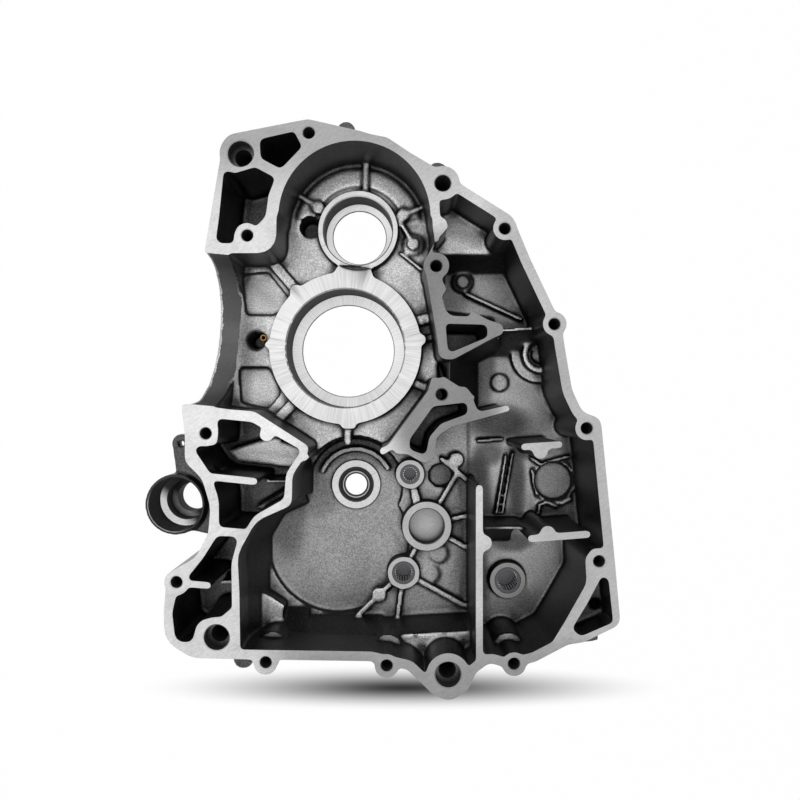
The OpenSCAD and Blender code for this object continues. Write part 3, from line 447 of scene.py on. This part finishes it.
class Paint:
    """A material and the nodes that feed it."""

    def __init__(self, name):
        self.material = bpy.data.materials.new(name)
        self.material.use_nodes = True
        self.tree = self.material.node_tree
        self.tree.nodes.clear()
        self.place = self.node("ShaderNodeTexCoord").outputs["Object"]

    def node(self, kind, inputs=None, **settings):
        """One node, with its settings and inputs by name or number."""
        node = self.tree.nodes.new(kind)
        for key, value in settings.items():
            setattr(node, key, value)
        for key, value in (inputs or {}).items():
            if isinstance(value, Value):
                value = value.socket
            if isinstance(value, bpy.types.NodeSocket):
                self.tree.links.new(value, node.inputs[key])
            else:
                node.inputs[key].default_value = value
        return node

    def axes(self, socket=None):
        """x, y and z of a vector."""
        node = self.node("ShaderNodeSeparateXYZ", {"Vector": socket or self.place})
        return [Value(self.tree, s) for s in node.outputs]

    def vector(self, x, y, z):
        return self.node("ShaderNodeCombineXYZ", {0: x, 1: y, 2: z}).outputs[0]

    def flatness(self):
        """How level the surface lies: 1 where it faces straight up or down, 0 on a wall."""
        geometry = self.node("ShaderNodeNewGeometry")
        return self.axes(geometry.outputs["Normal"])[2].math("ABSOLUTE")

    def disc(self, at, radius, blur=1):
        """1 within that many millimetres of a place, and 0 where it is more than blur farther."""
        x, y, z = self.axes()
        x, y = x - at[0] * MM, y - at[1] * MM
        return ((x * x + y * y).math("SQRT") * -1).ramp(-(radius + blur) * MM, -radius * MM)

    def fact(self, name):
        """A value that the mesh keeps per point."""
        return Value(self.tree, self.node("ShaderNodeAttribute", attribute_name=name).outputs["Fac"])

    def noise(self, scale, detail, roughness, place=None):
        """Noise with lumps of about 1/scale metres."""
        node = self.node("ShaderNodeTexNoise", {"Vector": place or self.place, "Scale": scale,
                                                "Detail": detail, "Roughness": roughness})
        return Value(self.tree, node.outputs[0])

    def mix(self, factor, a, b):
        """Colour a where the factor is 0, and b where it is 1."""
        return self.node("ShaderNodeMix", {0: factor, 6: a, 7: b}, data_type="RGBA").outputs[2]

    def greys(self, factor, low, high):
        """The grey of level low where the factor is 0, and of level high where it is 1."""
        return self.mix(factor, grey(low), grey(high))

    def bump(self, height, distance, strength):
        """Normal of a surface raised by height times distance metres."""
        inputs = {"Height": height, "Distance": distance, "Strength": strength}
        return self.node("ShaderNodeBump", inputs).outputs[0]

    def surface(self, **inputs):
        """The Principled shader: Base_Color is the input "Base Color", and so on."""
        shader = self.node("ShaderNodeBsdfPrincipled", {k.replace("_", " "): v for k, v in inputs.items()})
        self.node("ShaderNodeOutputMaterial", {"Surface": shader.outputs[0]})
        return self.material


def cast_metal():
    """Sand-textured aluminium: fine grain, soft blotches, painted shade and light, darkest on inner walls, and
    the eye's black coat.
    """
    p = Paint("cast_aluminium")
    x, y, z = p.axes()
    grain, coarse, blotch = p.noise(1300, 3, 0.7), p.noise(520, 2, 0.5), p.noise(26, 3, 0.5)
    tone = ((grain - 0.5) * 4.0 + (coarse - 0.5) * 0.6 + (blotch - 0.5) * 0.8 + 0.5).clamped()
    # Painted shade: a point's sky share sets how light its colour is, so corners and recesses darken
    lit = p.fact("open")
    # Painted shade and painted light: each ellipse darkens the floors' grey, or lightens it where its light
    # kept is above 1
    for at_x, at_y, wide, high, kept in PAINTED_SHADE_AND_LIGHT:
        across, along = (x - at_x * MM) / (wide * MM), (y - at_y * MM) / (high * MM)
        lit = lit * (across * across + along * along).ramp(0.2, 1.7, kept, 1.0)
    # Painted shade deeper down: from 13 to 18 mm below the crank boss face the light falls to 0.47, and to 0.62
    # past x = 90 mm
    deep_shade_kept = x.ramp(0.07, 0.09, 0.47, 0.62)
    lit = lit.math("MINIMUM", 1.0) * z.ramp(-0.018, -0.013, deep_shade_kept, 1.0)
    # Painted shade on floors: the light kept runs each grey from dark to bright
    floor_tone = p.mix(tone, p.greys(lit, 0.02, 0.48), p.greys(lit, 0.1, 1.0))
    # Painted shade on walls: walls greyer than floors, and inner walls darker than outer ones
    outer = p.fact("outside").ramp(0.1, 0.35)
    wall_tone = p.mix(tone, p.greys(outer, 0.02, 0.12), p.greys(outer, 0.07, 0.34))
    bare = p.mix(p.flatness().ramp(0.45, 0.93), wall_tone, floor_tone)
    eye = p.disc(EYE, EYE_OUTSIDE)
    rough = ((grain - 0.5) * 0.25 + 0.42) * (eye * -0.55 + 1)
    return p.surface(Base_Color=p.mix(eye, bare, grey(0.012)), Metallic=(1 - eye) * 0.8, Roughness=rough,
                     Normal=p.bump(grain * 0.6 + coarse, 0.00016, 0.7))


def tool_marks(p, x, y, z):
    """Height of the tool's marks: spokes on the crank boss's face, and drawn-out grain elsewhere."""
    reach, angle = (x * x + y * y).math("SQRT"), y.math("ARCTAN2", x)
    spokes = p.noise(2.6, 4, 0.65, p.vector(angle * 26.0, reach * 14.0, 0.0))
    lines = p.noise(900, 3, 0.6, p.vector(x * 0.3 + y * 0.17, y * 1.2 - x * 0.7, z))
    drag = (lines + p.noise(1500, 3, 0.7)) * 0.5
    return p.disc(CRANK, RING_FACE) * (spokes - drag) + drag


def machined_metal():
    """Milled aluminium: bright, with the tool's marks, and painted shade in the deep and on bore walls.

    How much painted shade a place gets comes from the largest of several shades, each 0 to 1.
    """
    p = Paint("machined_aluminium")
    x, y, z = p.axes()
    marks = tool_marks(p, x, y, z)
    tone = ((marks - 0.5) * 2.2 + (p.noise(30, 3, 0.5) - 0.5) * 1.3 + 0.5).clamped()
    flat = p.flatness().ramp(0.25, 0.8)
    on_joint, in_eye = z.ramp(0.02, 0.025), p.disc(EYE, EYE_OUTSIDE)
    lip = highest(p.disc(CRANK, 36.2), p.disc(BALANCER, 21.2))

    # Painted shade: lower faces darken, except the bore lips and the seal's boss
    deep = (1 - highest(lip, z.ramp(-0.012, -0.004), p.disc(SEAL, 15.5) * 0.8)) * 0.35
    # Painted shade on the joint face over the webs, and towards its right, top and foot
    webs = highest(p.disc((62, 22), 30, 22), p.disc((60, -42), 22, 22)) * on_joint * 0.66
    right_rim, top_rim = x.ramp(0.04, 0.13) * 0.35, y.ramp(0.06, 0.12) * 0.45
    foot_rim = y.ramp(-0.19, -0.13, 0.58, 0.0) * x.ramp(-0.06, -0.02)
    rim = highest(right_rim, foot_rim, top_rim) * on_joint
    # Painted shade on the spigot's half bore
    spigot = (y.ramp(-0.037, -0.035) * y.ramp(0.053, 0.055, 1.0, 0.0) * z.ramp(0.0262, 0.0268, 1.0, 0.0)
              * x.ramp(-0.066, -0.06, 0.86, 0.0))
    # Painted shade on the drum's floor; the right needle's boss face is darker too
    drum, right = p.disc(DRUM, 11) * 0.45, p.disc(NEEDLES["right"][:2], 12) * 0.6
    # The eye's faces are near black, with a painted highlight crescent towards its lower left
    from_painted_highlight = (EYE[0] + EYE[1]) * MM - (x + y)
    eye = in_eye * (from_painted_highlight.ramp(0.004, 0.016) * -0.95 + 0.97)
    # Painted shade where a point sees little sky, except on the lips and in the eye
    recess_shade = (1 - p.fact("open")) * (1 - highest(lip, in_eye)) * 0.9
    painted_shade = highest(deep, webs, rim, spigot, drum, right, eye, recess_shade)

    # Painted shade: the milled grey runs down to near black
    face = p.mix(painted_shade, p.greys(tone, 0.5, 0.8), grey(0.01))
    rough = (1 - flat) * 0.4 + tone * 0.12 + 0.27
    # Painted shade on bore walls: steep faces get a dark grey
    return p.surface(Base_Color=p.mix(flat, p.greys(tone, 0.03, 0.1), face), Metallic=flat * 0.6 + 0.4,
                     Roughness=rough, Normal=p.bump(marks, 0.00006, 0.5))


def plain(name, colour, metallic, rough):
    """A material with a fine grain in its colour, gloss and height."""
    p = Paint(name)
    fine, spread = p.noise(900, 3, 0.6), 0.12
    dark, light = (tuple(c * share for c in colour) + (1,) for share in (1 - spread, 1 + spread))
    return p.surface(Base_Color=p.mix(fine, dark, light), Metallic=metallic,
                     Roughness=(fine - 0.5) * 0.2 + rough, Normal=p.bump(fine, 0.00004, 0.5))


case = casting(cast_metal(), machined_metal())
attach(case, "case")
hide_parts("crankcase_casting")

LOOKS = {
    "cup": plain("bearing_shell", (0.1, 0.1, 0.105), 1.0, 0.3),
    "cage": plain("bearing_cage", (0.05, 0.05, 0.052), 1.0, 0.4),
    "rollers": plain("bearing_roller", (0.75, 0.75, 0.76), 1.0, 0.15),
    "shift_shaft_seal": plain("seal_rubber", (0.02, 0.02, 0.021), 0.0, 0.42),
    "seal_garter_spring": plain("spring_steel", (0.55, 0.55, 0.57), 1.0, 0.3),
    "oil_jet": plain("jet_brass", (0.3, 0.17, 0.06), 1.0, 0.35),
}
for name, node in frame["nodes"].items():
    for key, look in LOOKS.items():
        if name == key or name.endswith("needle_" + key):
            node.data.materials.clear()
            node.data.materials.append(look)
            node.data.shade_smooth()
            node.data.set_sharp_from_angle(angle=math.radians(30))


# ---- floor, light and camera ------------------------------------------------------------------------
def background_rays(tree):
    """1 for the rays that see the plain background: the camera's, and those of reflections."""
    path = tree.nodes.new("ShaderNodeLightPath")
    kinds = ("Is Camera Ray", "Is Glossy Ray", "Is Transmission Ray")
    return highest(*(Value(tree, path.outputs[kind]) for kind in kinds))


def floor():
    """A pale floor at the height the part lies on, with the soft shadow of the photo past the part's foot."""
    half, thick = 3000, 5
    outline = [(-half, -half), (half, -half), (half, half), (-half, half)]
    mesh = gather("floor", [prism(outline, FOOT - thick, FOOT)])
    p = Paint("floor")
    pale = p.node("ShaderNodeBsdfDiffuse", {"Color": grey(0.9)}).outputs[0]
    x, y, z = p.axes()
    across, along = (x - 0.037) / 0.18, (y + 0.223) / 0.016
    past_shadow = (across * across + along * along).math("SQRT").ramp(0.0, 1.0)
    colour = p.greys(past_shadow, 0.03, 1.0)
    white = p.node("ShaderNodeEmission", {"Color": colour, "Strength": 1.06}).outputs[0]
    seen = background_rays(p.tree) * 0.93
    both = p.node("ShaderNodeMixShader", {0: seen, 1: pale, 2: white}).outputs[0]
    p.node("ShaderNodeOutputMaterial", {"Surface": both})
    mesh.materials.append(p.material)
    new_object("floor", mesh)


def area_light(name, at, target, wide, deep, radiance):
    """A soft box of that size and brightness that looks at a target. Places and sizes in metres."""
    data = bpy.data.lights.new(name, "AREA")
    data.shape, data.size, data.size_y = "RECTANGLE", wide, deep
    data.energy = radiance * math.pi * wide * deep
    obj = bpy.data.objects.new(name, data)
    scene.collection.objects.link(obj)
    way = Vector(target) - Vector(at)
    obj.matrix_world = Matrix.Translation(at) @ way.to_track_quat("-Z", "Y").to_matrix().to_4x4()


def world():
    """A white background for the camera and for reflections, and dim light from all sides besides."""
    studio = bpy.data.worlds.new("studio")
    scene.world = studio
    studio.use_nodes = True
    tree = studio.node_tree
    tree.nodes.clear()
    both, out = tree.nodes.new("ShaderNodeMixShader"), tree.nodes.new("ShaderNodeOutputWorld")
    tree.links.new(background_rays(tree).socket, both.inputs[0])
    for slot, strength in ((1, 0.06), (2, 1.0)):
        sky = tree.nodes.new("ShaderNodeBackground")
        sky.inputs["Color"].default_value, sky.inputs["Strength"].default_value = grey(1.0), strength
        tree.links.new(sky.outputs[0], both.inputs[slot])
    tree.links.new(both.outputs[0], out.inputs[0])


def camera():
    """Straight above the part, 350 mm from its joint face."""
    data = bpy.data.cameras.new("camera")
    data.lens, data.sensor_width = 27.87, 36
    data.clip_start, data.clip_end = 0.01, 20
    obj = bpy.data.objects.new("camera", data)
    scene.collection.objects.link(obj)
    obj.location = (0.03335, -0.0316, 0.377)
    scene.camera = obj


floor()
world()
area_light("overhead", (0.03, 0.0, 0.95), (0.03, -0.03, 0), 0.62, 0.62, 0.15)
area_light("left", (-0.52, 0.05, 0.72), (0, -0.02, 0), 0.5, 0.9, 0.4)
area_light("far", (0.0, 0.55, 0.75), (0.02, 0, 0), 0.8, 0.35, 0.2)
area_light("right", (0.55, 0.0, 0.72), (0.02, -0.02, 0), 0.35, 0.8, 0.1)
camera()
scene.view_settings.view_transform = "Standard"
